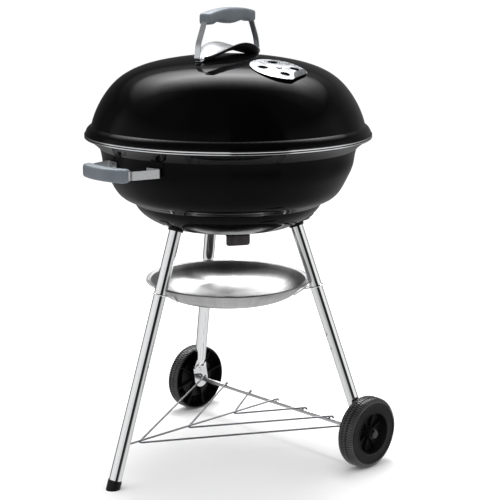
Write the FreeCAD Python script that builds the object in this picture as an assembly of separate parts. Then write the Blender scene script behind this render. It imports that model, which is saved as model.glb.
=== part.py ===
"""Kettle charcoal grill: one STEP file per piece, in millimetres, +Z up.

The kettle is modelled about its own vertical axis, with the front leg towards -Y, the two
wheel legs towards +Y and the axle along X.  Every piece is moved by KETTLE_Y as it is
written, so that the origin is on the floor at the centre of the whole grill's footprint.
"""
import FreeCAD, Part
import math
import os

V = FreeCAD.Vector
UP = V(0, 0, 1)
PARTS = "parts"

# ---- kettle ----
RIM_R = 295.0            # outer radius of the lid's and the bowl's rolled rims
SHEET = 1.2              # enamelled steel sheet
BEAD_R = 2.2             # rolled edge
BEAD_RING_R = RIM_R - BEAD_R
BOWL_BEAD_Z = 686.5
LID_GAP = 0.3            # between the two rolled edges
LID_TOP_Z = 851.0

# ---- legs, axle and wheels ----
LEG_ANGLES = {"front": 0.0, "right": 120.0, "left": 240.0}   # from -Y, towards +X
LEG_R = 12.7
LEG_WALL = 1.2
LEG_TOP = (148.2, 500.0)     # radius and height of the leg's line at its socket
LEG_FLOOR_R = 319.5          # radius of the leg's line at the floor
SOCKET_R = 15.6
SOCKET_BOTTOM_Z = 504.0
SOCKET_TAB = 1.5             # thickness of the socket's tab on the bowl
SOCKET_TAB_WIDTH = 20.0
SOCKET_RIVET_RUN_R = 169.0   # distance of the tab's rivet from the kettle's axis
LEG_RUN_ON_Z = 545.0         # tubes and sockets are drawn up to here, then cut by the bowl
AXLE_Z = 75.0
AXLE_R = 5.0
PLATE_HALF_WIDTH = 20.0      # crimped lower end of a wheel leg
PLATE_THICK = 3.0
PLATE_TOP_Z = 102.0
CRIMP_TOP_Z = 126.0
NOSE_Z = 86.0
WHEEL_R = 75.0
WHEEL_IN = 250.0             # inner and outer faces, from the middle of the axle
WHEEL_OUT = 285.0
WHEEL_RIBS = 8
WELL_R = 43.0                # well in a wheel's outer face
HUB_R = 12.5
RIB_THICK = 1.8
WELL_RIB_CREST = 5.0         # rib crests, from the wheel's middle plane
INNER_RIB_CREST = 14.0
AXLE_END = 288.0
CAP_R = 9.0                  # push-on cap at each end of the axle
CAP_EDGE = 3.0
RUNNING_FIT = 0.06
FOOT_R = 14.2
FOOT_HEIGHT = 17.0
FOOT_FLOOR = 3.0             # plastic under the end of the front leg

# ---- bottom rack and ash pan ----
RACK_WIRE_R = 2.0
RACK_TIP_Y = -272.0
RACK_VEES = ((-252.0, 234.0), (-117.0, 160.0), (16.0, 82.0))   # apex y, half width
PAN_R = 173.0
PAN_Z = 383.0
PAN_FLOOR_R = 110.0
PAN_FLOOR_Z = 345.0
PAN_SHEET = 1.0
PAN_BEAD_R = 1.8
CLIP_WIRE_R = 1.5
CLIP_Z = 379.0

# ---- grates ----
GRATE_ROD_R = 3.0
COAL_GRATE_R = 208.0
COAL_GRATE_Z = 578.0
COOK_GRATE_R = 250.0
COOK_GRATE_Z = 652.0
COAL_PITCH = 26.0
COOK_PITCH = 17.0
COOK_ROD_R = 2.2
COOK_LOOP_HEIGHT = 34.0      # lifting loops of the cooking grate
COOK_LOOP_HALF = 45.0
COAL_SHELF_REACH = 198.0     # inner ends of the shelves that carry the grates
COOK_SHELF_REACH = 242.0
COAL_SHELF_ANGLES = (40.0, 140.0, 220.0, 320.0)
COOK_SHELF_ANGLES = (30.0, 150.0, 210.0, 330.0)
SHELF_WIDTH = 24.0
SHELF_SHEET = 2.0

# ---- handles ----
GRIP_REACH = 345.0           # front of the side handle, from the kettle's axis
SIDE_Z = 642.0
SIDE_FOOT_ANGLE = 18.0
SIDE_FOOT_R = 262.9
SIDE_STRAP_WIDTH = 17.0
SIDE_GRIP_HEIGHT = 27.0
SIDE_BOLT_R = 3.0
SIDE_HEAD_R = 6.0
SIDE_HEAD_HEIGHT = 2.6
SIDE_NUT_HEIGHT = 3.0
GRIP_END = 62.0              # half length of the side grip
GRIP_END_FRONT = 332.0       # its front and back faces at the ends, and its back face in the middle
GRIP_END_BACK = 309.0
GRIP_MIDDLE_BACK = 319.0
GRIP_CORNER = 9.0
GRIP_EDGE = 5.0
STRAP_SHEET = 2.0
LID_HANDLE_TURN = 17.0       # turn of the lid handle from the Y axis
LID_FOOT = 108.0             # bolt distance from the lid's centre
STRAP_WIDTH = 12.0
FOOT_STAND_OFF = 2.0         # strap's underside above the lid's top at its bolt, less the shield
GRIP_Z = 931.0
GRIP_HALF = 96.0
LID_GRIP_WIDTH = 26.0
LID_GRIP_TOP = (936.0, 945.0)           # height of its top at the ends and in the middle
LID_GRIP_UNDER = ((GRIP_HALF, 914.0), (80.0, 914.0), (56.0, 918.5), (0.0, 912.5))   # half its wavy underside
LID_GRIP_EDGE = 6.0
LID_BOLT_R = 3.0
LID_BOLT_FIT = 0.1
LID_HEAD_R = 6.0
LID_HEAD_HEIGHT = 3.6
LID_NUT_HEIGHT = 5.0
SHIELD_HALF = 116.0
SHIELD_WIDTH = 70.0
SHIELD_TAPER = 23.0          # how much less its half width is at the ends
SHIELD_ARCH = 15.0           # rise of its keel in the middle
SHIELD_CURL = 15.5           # rise of its long edges in the middle, and how much less at the ends
SHIELD_CURL_LOSS = 7.0
SHIELD_SHEET = 1.0

# ---- dampers ----
VENT_R = 161.0               # distance and direction of the lid vent from the axis
VENT_ANGLE = 84.0
VENT_LIFT = 0.8              # damper's underside above the lid, at its rivet
DAMPER_SHEET = 1.0
DAMPER_HOLE_TURN = 50.0      # direction of a damper's first hole on its disc
LID_DAMPER = {"radius": 57.0, "dish": 2.7, "hole_r": 10.0, "hole_ring": 34.0}
ASH_DAMPER = {"radius": 72.0, "dish": 4.4, "hole_r": 14.0, "hole_ring": 42.0}
LID_TAB_TURN = 23.0          # direction of the lid damper's finger tab on its disc
LID_TAB_WIDTH = 50.0
LID_TAB_RISE = 10.5
LID_TAB_LEAN = 7.0           # how far the tab leans back over the disc
ASH_TAB_ANGLE = 62.0         # direction of the ash damper's tab
ASH_TAB_WIDTH = 50.0
ASH_TAB_DROP = 22.0
ASH_TAB_SHEET = 1.6
ASH_DAMPER_GAP = 0.7         # under the bowl, at the rivet
TAB_CORNER = 6.0
RIVET_R = 3.0

SEAM_TURN = 200.0            # keeps a revolved surface's seam clear of every hole
KETTLE_Y = (GRIP_REACH - RIM_R) / 2


def polar(angle, radius, z=0.0):
    """Point at an angle measured from -Y towards +X."""
    a = math.radians(angle)
    return V(radius * math.sin(a), -radius * math.cos(a), z)


def save(name, shape):
    placed = shape.copy()
    placed.translate(V(0, KETTLE_Y, 0))
    placed.exportStep(f"{PARTS}/{name}.step")


def cylinder(start, end, radius):
    return Part.makeCylinder(radius, (end - start).Length, start, end - start)


def fuse(shapes):
    joined = shapes[0]
    if len(shapes) > 1:
        joined = joined.multiFuse(shapes[1:])
    return joined.removeSplitter()


def box(low, high):
    size = V(*high) - V(*low)
    return Part.makeBox(size.x, size.y, size.z, V(*low))


def at_angle(shape, angle):
    """Turn a shape made about -Y to another angle round the kettle."""
    turned = shape.copy()
    turned.rotate(V(0, 0, 0), UP, angle)
    return turned


# ---- sheet-metal shells of revolution ----

def run_curve(run):
    points = [V(r, 0, z) for r, z in run]
    if len(points) == 2:
        return Part.LineSegment(*points)
    curve = Part.BSplineCurve()
    curve.interpolate(points)
    return curve


def run_normals(run):
    curve = run_curve(run)
    normals = []
    for r, z in run:
        tangent = curve.tangent(curve.parameter(V(r, 0, z)))[0]
        normals.append(V(tangent.z, 0, -tangent.x))
    return normals


def offset_runs(runs, distance):
    """The same outline moved sideways by distance, with mitred corners."""
    normals = [run_normals(run) for run in runs]
    for before, after in zip(normals, normals[1:]):
        mean = (before[-1] + after[0]).normalize()
        mitred = mean * (1 / mean.dot(before[-1]))
        before[-1] = mitred
        after[0] = mitred
    moved = []
    for run, run_n in zip(runs, normals):
        moved.append([(max(r + n.x * distance, 0.0), z + n.z * distance) for (r, z), n in zip(run, run_n)])
    return moved


def revolved_shell(runs, thickness):
    """Revolve an open outline, thickened to one side, round the kettle's axis."""
    inner = offset_runs(runs, thickness)
    edges = [run_curve(run).toShape() for run in runs]
    edges += [run_curve(run).toShape() for run in inner]
    for outer_end, inner_end in ((runs[0][0], inner[0][0]), (runs[-1][-1], inner[-1][-1])):
        edges.append(run_curve([outer_end, inner_end]).toShape())
    wire = Part.Wire(Part.__sortEdges__(edges))
    shell = Part.Face(wire).revolve(V(0, 0, 0), UP, 360)
    return at_angle(shell, SEAM_TURN)


def revolved_solid(runs):
    """Fill an outline that starts at its rim and ends on the axis."""
    edges = [run_curve(run).toShape() for run in runs]
    (r0, z0), (r1, z1) = runs[0][0], runs[-1][-1]
    edges.append(run_curve([(r0, z0), (0.0, z0)]).toShape())
    edges.append(run_curve([(0.0, z0), (r1, z1)]).toShape())
    return Part.Face(Part.Wire(Part.__sortEdges__(edges))).revolve(V(0, 0, 0), UP, 360)


def bead(ring_r, bead_r, z):
    return Part.makeTorus(ring_r, bead_r, V(0, 0, z))


def outline_frame(run, radius):
    """Point and upward unit normal, in the XZ plane, where an outline has this radius."""
    curve = run_curve(run)
    low, high = curve.FirstParameter, curve.LastParameter
    for _ in range(40):
        middle = (low + high) / 2
        if curve.value(middle).x > radius:
            low = middle
        else:
            high = middle
    tangent = curve.tangent(low)[0]
    return curve.value(low), V(tangent.z, 0, -tangent.x)


# ---- bent wires and straps ----

def bent_path(points, radii):
    """Straight runs through points, with a tangent arc of its own radius at each corner."""
    edges = []
    start = points[0]
    for before, corner, after, radius in zip(points, points[1:], points[2:], radii):
        back = (before - corner).normalize()
        ahead = (after - corner).normalize()
        half_turn = (math.pi - back.getAngle(ahead)) / 2
        reach = radius * math.tan(half_turn)
        first = corner + back * reach
        last = corner + ahead * reach
        centre = corner + (back + ahead).normalize() * (radius / math.cos(half_turn))
        middle = centre + (corner - centre).normalize() * radius
        edges.append(Part.LineSegment(start, first).toShape())
        edges.append(Part.Arc(first, middle, last).toShape())
        start = last
    edges.append(Part.LineSegment(start, points[-1]).toShape())
    return Part.Wire(edges)


def bent_wire(points, wire_r, bend_r):
    path = bent_path(points, [bend_r] * (len(points) - 2))
    profile = Part.Wire(Part.makeCircle(wire_r, points[0], points[1] - points[0]))
    return path.makePipeShell([profile], True, True)


def bent_strap(points, radii, side, width, thickness):
    """A flat strap whose middle line is bent in the plane square to side."""
    path = bent_path(points, radii)
    along = (points[1] - points[0]).normalize()
    across = along.cross(side) * (thickness / 2)
    half = side * (width / 2)
    corners = [points[0] + across + half, points[0] - across + half,
               points[0] - across - half, points[0] + across - half]
    profile = Part.makePolygon(corners + corners[:1])
    return path.makePipeShell([profile], True, True)


# ---- dampers ----

def damper_holes(damper, middle_z, depth):
    """Four round cutters on a circle round the local Z axis."""
    holes = []
    for quarter in range(4):
        a = math.radians(DAMPER_HOLE_TURN + 90 * quarter)
        base = V(damper["hole_ring"] * math.cos(a), damper["hole_ring"] * math.sin(a), middle_z - depth / 2)
        holes.append(Part.makeCylinder(damper["hole_r"], depth, base))
    return Part.Compound(holes)


def damper_disc(damper, dish_sign):
    """Dished disc about the local Z axis, its crown touching z = 0 from above."""
    radius = damper["radius"]
    sag = damper["dish"] * dish_sign
    run = [(radius, -sag), (radius / 2, -sag / 4), (0.0, 0.0)]
    disc = revolved_shell([run], DAMPER_SHEET)
    rivet_hole = Part.makeCylinder(RIVET_R + RUNNING_FIT, 60, V(0, 0, -30))
    return disc.cut(damper_holes(damper, 0, 60)).cut(rivet_hole)


def rivet(low, high, head_r, head_t):
    """Rivet about the local Z axis, gripping whatever lies between low and high."""
    shank = Part.makeCylinder(RIVET_R, high - low, V(0, 0, low))
    heads = []
    for base, sign in ((high, 1), (low, -1)):
        head = Part.makeCylinder(head_r, head_t, V(0, 0, base if sign > 0 else base - head_t))
        rim = [edge for edge in head.Edges if abs(edge.BoundBox.ZMin - (base + sign * head_t)) < 0.01
               and edge.BoundBox.XLength > head_r]
        heads.append(head.makeFillet(head_t * 0.6, rim))
    return fuse([shank] + heads)


# ---- bowl ----

def bowl_outline():
    return [[(BEAD_RING_R, BOWL_BEAD_Z), (278.0, 676.0), (264.5, 664.0)],
            [(264.5, 664.0), (261.5, 654.0), (257.5, 630.0), (245.0, 600.0), (227.0, 570.0), (207.0, 557.0)],
            [(207.0, 557.0), (194.0, 549.0)],
            [(194.0, 549.0), (180.5, 530.0), (160.0, 515.5), (136.0, 504.0)],
            [(136.0, 504.0), (100.0, 496.0), (50.0, 489.6), (0.0, 487.5)]]


def bowl():
    shell = revolved_shell(bowl_outline(), SHEET).fuse(bead(BEAD_RING_R, BEAD_R, BOWL_BEAD_Z))
    shell = shell.cut(damper_holes(ASH_DAMPER, 490, 60))
    shell = shell.cut(Part.makeCylinder(RIVET_R + RUNNING_FIT, 60, V(0, 0, 460)))
    for side in (-1, 1):
        shell = shell.cut(side_bolt_axis(side, SIDE_BOLT_R + RUNNING_FIT, 20.0))
    for angle in LEG_ANGLES.values():
        shell = shell.cut(at_angle(socket_rivet_hole(), angle))
    return shell


def ash_damper_disc():
    """Disc that follows the underside of the bowl, with a tab bent down at its rim."""
    disc = damper_disc(ASH_DAMPER, -1)
    rim = ASH_DAMPER["radius"]
    rim_z = ASH_DAMPER["dish"]
    points = [V(0, -rim + 4, rim_z + DAMPER_SHEET / 2 - 0.3), V(0, -rim - 3, rim_z + DAMPER_SHEET / 2),
              V(0, -rim - 3, rim_z - ASH_TAB_DROP)]
    tab = bent_strap(points, [2.5], V(1, 0, 0), ASH_TAB_WIDTH, ASH_TAB_SHEET)
    corners = [edge for edge in tab.Edges
               if edge.BoundBox.YLength > 1 and edge.BoundBox.ZMax < rim_z - ASH_TAB_DROP + 0.1]
    tab = tab.makeFillet(TAB_CORNER, corners)
    whole = at_angle(fuse([disc, tab]), ASH_TAB_ANGLE)
    whole.translate(V(0, 0, ash_disc_z()))
    return whole


def bowl_bottom_z():
    return bowl_outline()[-1][-1][1]


def ash_disc_z():
    return bowl_bottom_z() - ASH_DAMPER_GAP - DAMPER_SHEET


# ---- legs ----

def leg_point(z):
    slope = (LEG_FLOOR_R - LEG_TOP[0]) / LEG_TOP[1]
    return polar(0.0, LEG_FLOOR_R - slope * z, z)


def turned_point(point, angle):
    return at_angle(Part.Vertex(point), angle).Point


def largest(shape):
    return max(shape.Solids, key=lambda solid: solid.Volume)


def leg_tube(bottom_z, bowl_solid):
    top = leg_point(LEG_RUN_ON_Z)
    outer = cylinder(leg_point(bottom_z), top, LEG_R)
    bore = cylinder(leg_point(bottom_z), top, LEG_R - LEG_WALL)
    return largest(outer.cut(bore).cut(bowl_solid))


def leg_socket(bowl_solid):
    """Cup under the bowl that the leg plugs into, with a tab riveted to the bowl."""
    bottom = leg_point(SOCKET_BOTTOM_Z)
    top = leg_point(LEG_RUN_ON_Z)
    half = SOCKET_TAB_WIDTH / 2
    tab = revolved_shell(bowl_outline()[3:4], -SOCKET_TAB).common(box((-half, -180, 480), (half, -140, 560)))
    cup = cylinder(bottom, top, SOCKET_R).cut(bowl_solid)
    whole = fuse([largest(cup), largest(tab)]).cut(cylinder(bottom, top, LEG_R))
    return largest(whole).cut(socket_rivet_hole())


def socket_rivet_hole():
    return on_socket_tab(Part.makeCylinder(RIVET_R + RUNNING_FIT, 40, V(0, 0, -20)))


def socket_rivet():
    """Its heads stand a little off the tab and off the hollow inside of the bowl."""
    return on_socket_tab(rivet(-SOCKET_TAB - 0.1, SHEET + 0.4, 4.5, 2.0))


def on_socket_tab(shape):
    """Move a shape made about local Z to the front socket's rivet, Z into the bowl."""
    point, normal = outline_frame(bowl_outline()[3], SOCKET_RIVET_RUN_R)
    placed = shape.copy()
    placed.rotate(V(0, 0, 0), V(0, 1, 0), math.degrees(math.atan2(normal.x, normal.z)))
    placed.translate(point)
    placed.rotate(V(0, 0, 0), UP, -90)
    return placed


def front_leg(bowl_solid):
    tube = leg_tube(-5.0, bowl_solid)
    return largest(tube.common(above(FOOT_FLOOR)))


def above(z):
    """A block that holds everything of the grill above this height."""
    return box((-400, -500, z), (400, 400, 1000))


def foot_cap():
    """Plastic cap on the front leg, cut level where it stands on the floor."""
    top = leg_point(FOOT_HEIGHT)
    outer = cylinder(leg_point(-10.0), top, FOOT_R).common(above(0))
    bore = cylinder(leg_point(-10.0), leg_point(FOOT_HEIGHT + 9), LEG_R)
    return largest(outer.cut(bore.common(above(FOOT_FLOOR))))


def plate_middle(side, z):
    """Middle of a wheel leg's pressed plate: upright in X, on the leg's line in Y."""
    line = turned_point(leg_point(z), side * 120.0)
    top = turned_point(leg_point(PLATE_TOP_Z), side * 120.0)
    return V(top.x, line.y, z)


def axle_point(x=0.0):
    return V(x, plate_middle(1, AXLE_Z).y, AXLE_Z)


def round_outline(centre, half_x, half_y):
    """Ellipse in four arcs, so that it lofts to a rectangle."""
    def at(angle):
        a = math.radians(angle)
        return centre + V(half_x * math.cos(a), half_y * math.sin(a), 0)
    arcs = [Part.Arc(at(a - 45), at(a), at(a + 45)) for a in (0, 90, 180, 270)]
    return Part.Wire([arc.toShape() for arc in arcs])


def wheel_leg(side, bowl_solid):
    """Tube whose lower end is pressed flat round the axle; side is +1 or -1."""
    angle = side * 120.0
    tube = at_angle(leg_tube(CRIMP_TOP_Z - 12, bowl_solid), angle)
    tube = largest(tube.common(above(CRIMP_TOP_Z)))
    slant = 1 / math.cos(math.atan((LEG_FLOOR_R - LEG_TOP[0]) / LEG_TOP[1]))
    round_end = round_outline(turned_point(leg_point(CRIMP_TOP_Z), angle), LEG_R * slant, LEG_R)
    top = plate_middle(side, PLATE_TOP_Z)
    end = plate_middle(side, AXLE_Z)
    hx = V(PLATE_THICK / 2, 0, 0)
    hy = V(0, PLATE_HALF_WIDTH, 0)
    flat_end = Part.makePolygon([top + hx - hy, top + hx + hy, top - hx + hy, top - hx - hy, top + hx - hy])
    crimp = Part.makeLoft([round_end, flat_end], True, True)
    corners = [top - hx - hy, top - hx + hy, end - hx + hy, end - hx - hy]
    strip = Part.Face(Part.makePolygon(corners + corners[:1])).extrude(hx * 2)
    round_tip = cylinder(end - hx, end + hx, PLATE_HALF_WIDTH)
    nose = Part.makeCone(0.3, 5.0, PLATE_TOP_Z + 8 - NOSE_Z, plate_middle(side, NOSE_Z), UP)
    hole = cylinder(end - V(20, 0, 0), end + V(20, 0, 0), AXLE_R)
    return largest(fuse([tube, crimp, strip, round_tip, nose]).cut(hole))


def axle():
    return cylinder(axle_point(-AXLE_END), axle_point(AXLE_END), AXLE_R)


def axle_caps():
    """Push-on dome caps that keep the wheels on the axle."""
    caps = []
    for side in (-1, 1):
        inner = axle_point(side * (WHEEL_OUT + 0.6))
        outer = axle_point(side * (AXLE_END + 2))
        cap = cylinder(inner, outer, CAP_R)
        rim = [edge for edge in cap.Edges if abs(edge.BoundBox.XMin - outer.x) < 0.01
               and edge.BoundBox.YLength > CAP_R and abs(edge.BoundBox.XMax - outer.x) < 0.01]
        cap = cap.makeFillet(CAP_EDGE, rim)
        caps.append(cap.cut(cylinder(inner, axle_point(side * AXLE_END), AXLE_R)))
    return Part.Compound(caps)


def wheel_section():
    """Closed section of a hollow moulded wheel: distance outwards from its middle plane, then radius."""
    half = (WHEEL_OUT - WHEEL_IN) / 2
    bore = AXLE_R + RUNNING_FIT
    tread = [(-half, 71.5), (-15.5, 73.8), (-12.0, WHEEL_R), (6.0, WHEEL_R), (12.0, 73.2), (15.5, 69.5)]
    outer_face = [(16.6, 63.0), (half, 61.0), (half, WELL_R + 3), (16.0, WELL_R + 1), (-2.0, WELL_R),
                  (-2.0, HUB_R + 1)]
    hub = [(16.5, HUB_R), (16.5, bore), (-half, bore), (-half, HUB_R)]
    inner_face = [(-5.0, HUB_R + 1.5), (-5.0, WELL_R + 3), (14.0, WELL_R + 4.5), (14.5, 60.0), (13.0, 66.0),
                  (9.0, 69.5), (0.0, 71.0), (-half, 69.0)]
    return tread + outer_face + hub + inner_face


def wheel_rib():
    """One radial rib: low in the outer well, and right across the hollow inner side."""
    well = box((-3.0, -RIB_THICK / 2, HUB_R - 1), (WELL_RIB_CREST, RIB_THICK / 2, WELL_R + 1))
    web = box((-INNER_RIB_CREST, -RIB_THICK / 2, HUB_R - 1), (-4.0, RIB_THICK / 2, WELL_R + 4))
    rim = box((-INNER_RIB_CREST, -RIB_THICK / 2, WELL_R + 3), (11.0, RIB_THICK / 2, 70.0))
    return [well, web, rim]


def wheel(side):
    points = [V(side * w, 0, r) for w, r in wheel_section()]
    whole = Part.Face(Part.makePolygon(points + points[:1])).revolve(V(0, 0, 0), V(1, 0, 0), 360)
    ribs = []
    for i in range(WHEEL_RIBS):
        for piece in wheel_rib():
            if side < 0:
                piece.rotate(V(0, 0, 0), V(0, 0, 1), 180)
            piece.rotate(V(0, 0, 0), V(1, 0, 0), 360 * (i + 0.5) / WHEEL_RIBS)
            ribs.append(piece)
    whole = fuse([whole] + ribs)
    whole.translate(axle_point(side * (WHEEL_IN + WHEEL_OUT) / 2))
    return whole


# ---- bottom rack ----

def hooked_end(start, over_axle):
    """Points that carry a wire over the axle and down behind it."""
    ahead = V(over_axle.x - start.x, over_axle.y - start.y, 0).normalize()
    corner = over_axle + ahead * ((AXLE_R + RACK_WIRE_R + 0.6) / ahead.y)
    return [corner, V(corner.x, corner.y, AXLE_Z - 4)]


def bottom_rack():
    """A centre rod and three nested vees, welded under it and hooked over the axle."""
    top_z = AXLE_Z + AXLE_R + RACK_WIRE_R + 0.4
    tip = V(0, RACK_TIP_Y, top_z + 1.5)
    middle = V(0, axle_point().y, top_z)
    wires = [bent_wire([tip] + hooked_end(tip, middle), RACK_WIRE_R, 5.0)]
    for apex_y, half_width in RACK_VEES:
        rod = tip + (middle - tip) * ((apex_y - tip.y) / (middle.y - tip.y))
        apex = V(0, apex_y, rod.z - 2 * RACK_WIRE_R + 0.8)
        ends = [hooked_end(apex, V(side * half_width, axle_point().y, top_z)) for side in (-1, 1)]
        points = ends[0][::-1] + [apex] + ends[1]
        wires.append(bent_wire(points, RACK_WIRE_R, 5.0))
    return fuse(wires)


# ---- ash pan and its clips ----

def ash_pan():
    rim = (PAN_R - PAN_BEAD_R, PAN_Z)
    runs = [[rim, (PAN_R - 10, PAN_Z - 0.5)],
            [(PAN_R - 10, PAN_Z - 0.5), (152.0, 366.0), (134.0, 353.0), (PAN_FLOOR_R, PAN_FLOOR_Z)],
            [(PAN_FLOOR_R, PAN_FLOOR_Z), (0.0, PAN_FLOOR_Z)]]
    return revolved_shell(runs, PAN_SHEET).fuse(bead(PAN_R - PAN_BEAD_R, PAN_BEAD_R, PAN_Z))


def pan_clip():
    """Wire ring round a leg with a pointed loop that runs in under the pan."""
    centre = leg_point(CLIP_Z)
    along = (leg_point(LEG_TOP[1]) - leg_point(0)).normalize()
    ring_r = LEG_R + CLIP_WIRE_R + 0.1
    ring = Part.makeTorus(ring_r, CLIP_WIRE_R, centre, along)
    sides = []
    for side in (-1, 1):
        points = [V(side * ring_r, centre.y, centre.z), V(side * 9.5, -166, 373.5), V(0, -143, 355.5)]
        sides.append(bent_wire(points, CLIP_WIRE_R, 5.0))
    return fuse([ring] + sides)


# ---- grates ----

def grate(radius, z, pitch, rod_r, cross_at, ring):
    """Parallel rods on cross rods, with or without an outer ring."""
    rods = []
    count = int((radius - rod_r) / pitch)
    for i in range(-count, count + 1):
        half = math.sqrt(radius ** 2 - (i * pitch) ** 2) - (0 if ring else rod_r)
        rods.append(cylinder(V(i * pitch, -half, z), V(i * pitch, half, z), rod_r))
    for y in cross_at:
        half = math.sqrt(radius ** 2 - y ** 2)
        level = z - 2 * rod_r + 0.4
        rods.append(cylinder(V(-half, y, level), V(half, y, level), rod_r))
    if ring:
        rods.append(Part.makeTorus(radius, GRATE_ROD_R, V(0, 0, z)))
    return fuse(rods)


def cooking_grate():
    """Rods in a ring, with a lifting loop at each side."""
    bars = grate(COOK_GRATE_R, COOK_GRATE_Z, COOK_PITCH, COOK_ROD_R, (-110.0, 110.0), True)
    handles = []
    for side in (-1, 1):
        x = side * (COOK_GRATE_R - 14)
        top_z = COOK_GRATE_Z + COOK_LOOP_HEIGHT
        near, far = -COOK_LOOP_HALF, COOK_LOOP_HALF
        points = [V(x, near, COOK_GRATE_Z), V(x, near, top_z), V(x, far, top_z), V(x, far, COOK_GRATE_Z)]
        handles.append(bent_wire(points, COOK_ROD_R, 10.0))
    return fuse([bars] + handles)


def charcoal_grate():
    return grate(COAL_GRATE_R, COAL_GRATE_Z, COAL_PITCH, GRATE_ROD_R, (-90.0, 0.0, 90.0), False)


def grate_brackets(bowl_inside, top_z, reach, angles):
    """Shelves welded round the inside of the bowl to carry a grate."""
    half = SHELF_WIDTH / 2
    shelf = box((-half, -RIM_R, top_z - SHELF_SHEET), (half, -reach, top_z)).common(bowl_inside)
    return Part.Compound([at_angle(largest(shelf), angle) for angle in angles])


# ---- side handle ----

def side_foot(side, angle):
    return polar(side * angle, SIDE_FOOT_R, SIDE_Z)


def side_handle_bracket():
    """One flat strap: a foot on the bowl, an arm out to the grip, through it and back."""
    right = [side_foot(1, SIDE_FOOT_ANGLE - 8.0), side_foot(1, SIDE_FOOT_ANGLE),
             V(GRIP_END + 2, -316, SIDE_Z), V(30, -331, SIDE_Z)]
    left = [V(-p.x, p.y, p.z) for p in reversed(right)]
    strap = bent_strap(right + left, [5.0, 10.0, 25.0, 25.0, 10.0, 5.0], UP, SIDE_STRAP_WIDTH, STRAP_SHEET)
    for side in (-1, 1):
        strap = strap.cut(side_bolt_axis(side, SIDE_BOLT_R + RUNNING_FIT, 20.0))
    return strap


def side_bolt_axis(side, radius, half_length):
    outward = polar(side * (SIDE_FOOT_ANGLE - 5.0), 1.0)
    middle = outward * SIDE_FOOT_R + V(0, 0, SIDE_Z)
    return cylinder(middle - outward * half_length, middle + outward * half_length, radius)


def side_handle_bolts():
    """Each has its head on the strap's foot and its nut inside the bowl."""
    bolts = []
    for side in (-1, 1):
        outward = polar(side * (SIDE_FOOT_ANGLE - 5.0), 1.0)
        middle = outward * SIDE_FOOT_R + V(0, 0, SIDE_Z)
        inner = middle - outward * 7.5
        outer = middle + outward * 1.4
        nut_end = inner - outward * SIDE_NUT_HEIGHT
        bolts.append(fuse([cylinder(nut_end, outer, SIDE_BOLT_R), cylinder(nut_end, inner, SIDE_HEAD_R),
                           cylinder(outer, outer + outward * SIDE_HEAD_HEIGHT, SIDE_HEAD_R)]))
    return Part.Compound(bolts)


def side_handle_grip():
    """Curved bar with rounded edges; the strap runs through it."""
    front_left, front_right = (V(side * GRIP_END, -GRIP_END_FRONT, 0) for side in (-1, 1))
    back_left, back_right = (V(side * GRIP_END, -GRIP_END_BACK, 0) for side in (-1, 1))
    front = Part.Arc(front_right, V(0, -GRIP_REACH, 0), front_left)
    back = Part.Arc(back_left, V(0, -GRIP_MIDDLE_BACK, 0), back_right)
    ends = [Part.LineSegment(front_left, back_left), Part.LineSegment(back_right, front_right)]
    outline = Part.Wire([front.toShape(), ends[0].toShape(), back.toShape(), ends[1].toShape()])
    bar = Part.Face(outline).extrude(V(0, 0, SIDE_GRIP_HEIGHT))
    uprights = [edge for edge in bar.Edges if edge.BoundBox.ZLength > SIDE_GRIP_HEIGHT / 2]
    bar = bar.makeFillet(GRIP_CORNER, uprights)
    bar = bar.makeFillet(GRIP_EDGE, [edge for edge in bar.Edges if edge.BoundBox.ZLength < 0.01])
    bar.translate(V(0, 0, SIDE_Z - SIDE_GRIP_HEIGHT / 2))
    return largest(bar.cut(side_handle_bracket()))


# ---- lid ----

def lid_bead_z():
    return BOWL_BEAD_Z + 2 * BEAD_R + LID_GAP


def lid_outline():
    return [[(BEAD_RING_R, lid_bead_z()), (289.5, 702.0), (280.5, 709.5)],
            [(280.5, 709.5), (275.5, 726.0), (255.0, 767.0), (223.0, 803.0), (181.0, 826.0), (120.0, 841.3),
             (60.0, 848.8), (0.0, LID_TOP_Z)]]


def on_vent(shape):
    """Move a shape made about local Z to the vent's place and slope on the lid."""
    point, normal = outline_frame(lid_outline()[1], VENT_R)
    placed = shape.copy()
    placed.rotate(V(0, 0, 0), V(0, 1, 0), math.degrees(math.atan2(normal.x, normal.z)))
    placed.translate(point)
    placed.rotate(V(0, 0, 0), UP, VENT_ANGLE - 90)
    return placed


def in_handle(shape):
    return at_angle(shape, LID_HANDLE_TURN)


def lid_shell():
    shell = revolved_shell(lid_outline(), -SHEET).fuse(bead(BEAD_RING_R, BEAD_R, lid_bead_z()))
    shell = shell.cut(on_vent(damper_holes(LID_DAMPER, 0, 80)))
    shell = shell.cut(on_vent(Part.makeCylinder(RIVET_R + RUNNING_FIT, 60, V(0, 0, -30))))
    return shell.cut(in_handle(lid_bolt_holes()))


def lid_bolt_holes():
    """Cutters for both bolts of the lid handle, about the local axes of the handle."""
    return Part.Compound([cylinder(V(0, side * LID_FOOT, 800), V(0, side * LID_FOOT, 880), LID_BOLT_R)
                          for side in (-1, 1)])


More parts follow.
